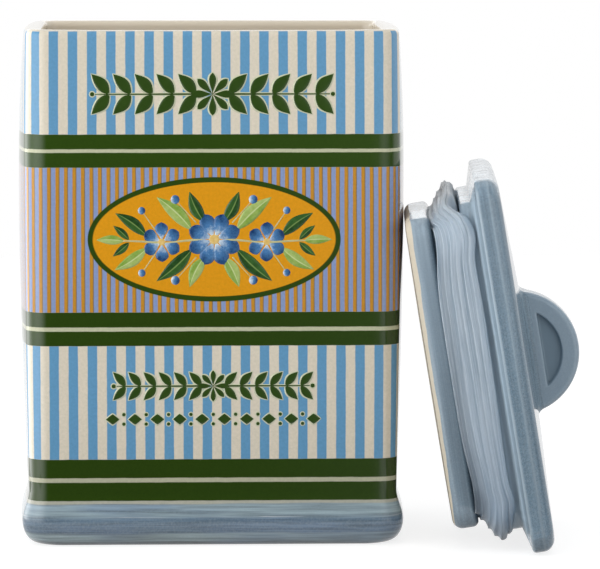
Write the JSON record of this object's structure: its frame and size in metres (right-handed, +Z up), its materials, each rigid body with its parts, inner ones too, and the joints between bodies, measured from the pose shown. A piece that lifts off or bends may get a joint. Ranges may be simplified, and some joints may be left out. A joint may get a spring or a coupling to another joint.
{
  "type": "ceramic storage jar",
  "caption": "Rectangular glazed ceramic storage jar with a flared foot, and its flat lid with pinch handle and finned gasket leaning on its end.",
  "frame": {"origin": "middle of the jar's flat base, on the surface it stands on", "axes": "+Z up through the jar's mouth, +X along the jar's wide face towards the end that the lid leans on, -Y out of the front face"},
  "size_m": [0.2279, 0.1322, 0.208],
  "materials": {
    "printed_glaze": "gloss glaze with printed stripes, bands and sprigs",
    "lid_glaze": "gloss blue-grey glaze, bare clay on the plug's underside",
    "silicone": "translucent blue-grey silicone"
  },
  "bodies": {
    "jar": {"jar_body": "printed_glaze"},
    "lid": {"lid_cover": "lid_glaze", "lid_handle": "lid_glaze", "lid_plug": "lid_glaze", "gasket": "silicone"}
  },
  "joints": [
    {"name": "lid_lift", "type": "slide", "parent": "jar", "child": "lid", "axis": [0, 0, 1], "range_m": [0, 0.23]}
  ]
}
